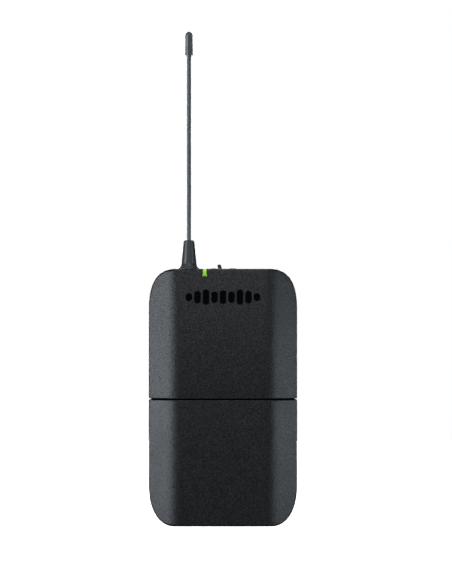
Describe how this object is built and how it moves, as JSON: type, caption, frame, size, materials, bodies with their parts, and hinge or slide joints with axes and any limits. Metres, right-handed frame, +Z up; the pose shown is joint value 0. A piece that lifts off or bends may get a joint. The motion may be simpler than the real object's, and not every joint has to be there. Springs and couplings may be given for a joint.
{
  "type": "wireless bodypack transmitter",
  "caption": "Belt-worn wireless microphone transmitter: a slim rounded case with a whip antenna, a hinged battery door, top controls and a sprung belt clip.",
  "frame": {"origin": "middle of the flat bottom end of the case", "axes": "+Z up along the antenna, -Y out of the front cover, +X to the right as seen from the front"},
  "size_m": [0.064, 0.0289, 0.2135],
  "materials": {
    "shell_plastic": "fine spark-textured moulded charcoal plastic",
    "latch_plastic": "smooth satin moulded plastic",
    "coated_clip_steel": "black baked coating on sheet spring steel",
    "screw_steel": "black-passivated steel",
    "pin_steel": "drawn steel pin",
    "label_film": "satin printed polyester film",
    "antenna_rubber": "satin moulded elastomer",
    "antenna_jacket": "semi-gloss extruded jacket",
    "antenna_wire": "spring steel wire",
    "ferrule_brass": "turned brass",
    "contact_metal": "nickel-plated spring strip",
    "jack_nickel": "dark nickel plated turned shell",
    "insulator_plastic": "moulded insulator",
    "pin_gold": "gold-plated contacts",
    "lead_wire": "tinned copper wire",
    "switch_plastic": "satin moulded plastic",
    "slider_plastic": "satin moulded plastic",
    "light_guide": "clear moulded light guide",
    "lamp_body": "small surface lamp",
    "board_green": "solder-masked laminate",
    "chip_black": "moulded epoxy",
    "shield_tin": "tinned steel",
    "capacitor_can": "drawn aluminium cans",
    "inductor_core": "sintered ferrite",
    "chip_ceramic": "fired ceramic",
    "panel_plastic": "satin moulded plastic",
    "window_clear": "clear polished window",
    "display_glass": "display with dark polariser",
    "button_plastic": "satin moulded plastic",
    "knob_plastic": "satin moulded plastic",
    "switch_tin": "stamped steel cover",
    "pot_body": "moulded housing",
    "cell_can": "nickel-plated can ends",
    "mark_black": "glossy black printed ink",
    "mark_white": "white printed ink",
    "mark_grey": "dark grey printed ink",
    "display_digit": "lit display segments",
    "cell_film": "shrunk printed film"
  },
  "bodies": {
    "case": {"rear_case": "shell_plastic", "front_case": "shell_plastic", "hinge_pins": "pin_steel", "case_screws": "screw_steel", "board_screws": "screw_steel", "rating_label": "label_film", "antenna_boot": "antenna_rubber", "antenna_ferrule": "ferrule_brass", "antenna_core": "antenna_wire", "antenna_whip": "antenna_jacket", "antenna_tip": "antenna_jacket", "antenna_contact": "contact_metal", "jack_shell": "jack_nickel", "jack_insulator": "insulator_plastic", "jack_pins": "pin_gold", "jack_leads": "lead_wire", "switch_bezel": "switch_plastic", "switch_body": "switch_tin", "light_pipe": "light_guide", "status_lamp": "lamp_body", "main_board": "board_green", "rf_shield": "shield_tin", "radio_chip": "chip_black", "control_chip": "chip_black", "audio_chip": "chip_black", "crystal": "shield_tin", "power_inductor": "inductor_core", "storage_capacitors": "capacitor_can", "small_chips": "chip_ceramic", "control_panel": "panel_plastic", "display_window": "window_clear", "display_module": "display_glass", "tact_switches": "switch_tin", "gain_pot": "pot_body", "battery_cans": "cell_can", "battery_wraps": "cell_film", "contact_bridge": "contact_metal", "contact_positive": "contact_metal", "contact_negative": "contact_metal", "lower_spring": "contact_metal", "upper_spring": "contact_metal"},
    "door": {"battery_door": "shell_plastic"},
    "left_latch": {"latch_left": "latch_plastic"},
    "right_latch": {"latch_right": "latch_plastic"},
    "switch": {"power_slider": "slider_plastic", "switch_stem": "insulator_plastic"},
    "group_key": {"group_button": "button_plastic"},
    "channel_key": {"channel_button": "button_plastic"},
    "gain": {"gain_knob": "knob_plastic"},
    "clip": {"belt_clip": "coated_clip_steel"}
  },
  "joints": [
    {"name": "door_hinge", "type": "hinge", "parent": "case", "child": "door", "pos_m": [0, -0.0065, 0.0023], "axis": [1, 0, 0], "range_deg": [0, 100]},
    {"name": "left_latch_press", "type": "slide", "parent": "door", "child": "left_latch", "axis": [1, 0, 0], "range_m": [0, 0.0012], "stiffness_N_per_m": 600, "springref_m": -0.0005},
    {"name": "right_latch_press", "type": "slide", "parent": "door", "child": "right_latch", "axis": [-1, 0, 0], "range_m": [0, 0.0012], "stiffness_N_per_m": 600, "springref_m": -0.0005},
    {"name": "power_slide", "type": "slide", "parent": "case", "child": "switch", "axis": [1, 0, 0], "range_m": [0, 0.003]},
    {"name": "group_press", "type": "slide", "parent": "case", "child": "group_key", "axis": [0, 1, 0], "range_m": [0, 0.00035], "stiffness_N_per_m": 1500, "springref_m": -0.0002},
    {"name": "channel_press", "type": "slide", "parent": "case", "child": "channel_key", "axis": [0, 1, 0], "range_m": [0, 0.00035], "stiffness_N_per_m": 1500, "springref_m": -0.0002},
    {"name": "gain_turn", "type": "hinge", "parent": "case", "child": "gain", "pos_m": [-0.01663, 0, 0.0198], "axis": [0, 1, 0], "range_deg": [-135, 135]},
    {"name": "clip_pivot", "type": "hinge", "parent": "case", "child": "clip", "pos_m": [0, 0.0132, 0.09275], "axis": [1, 0, 0], "range_deg": [0, 12], "stiffness_Nm_per_rad": 2.5, "springref_deg": -2.86}
  ]
}
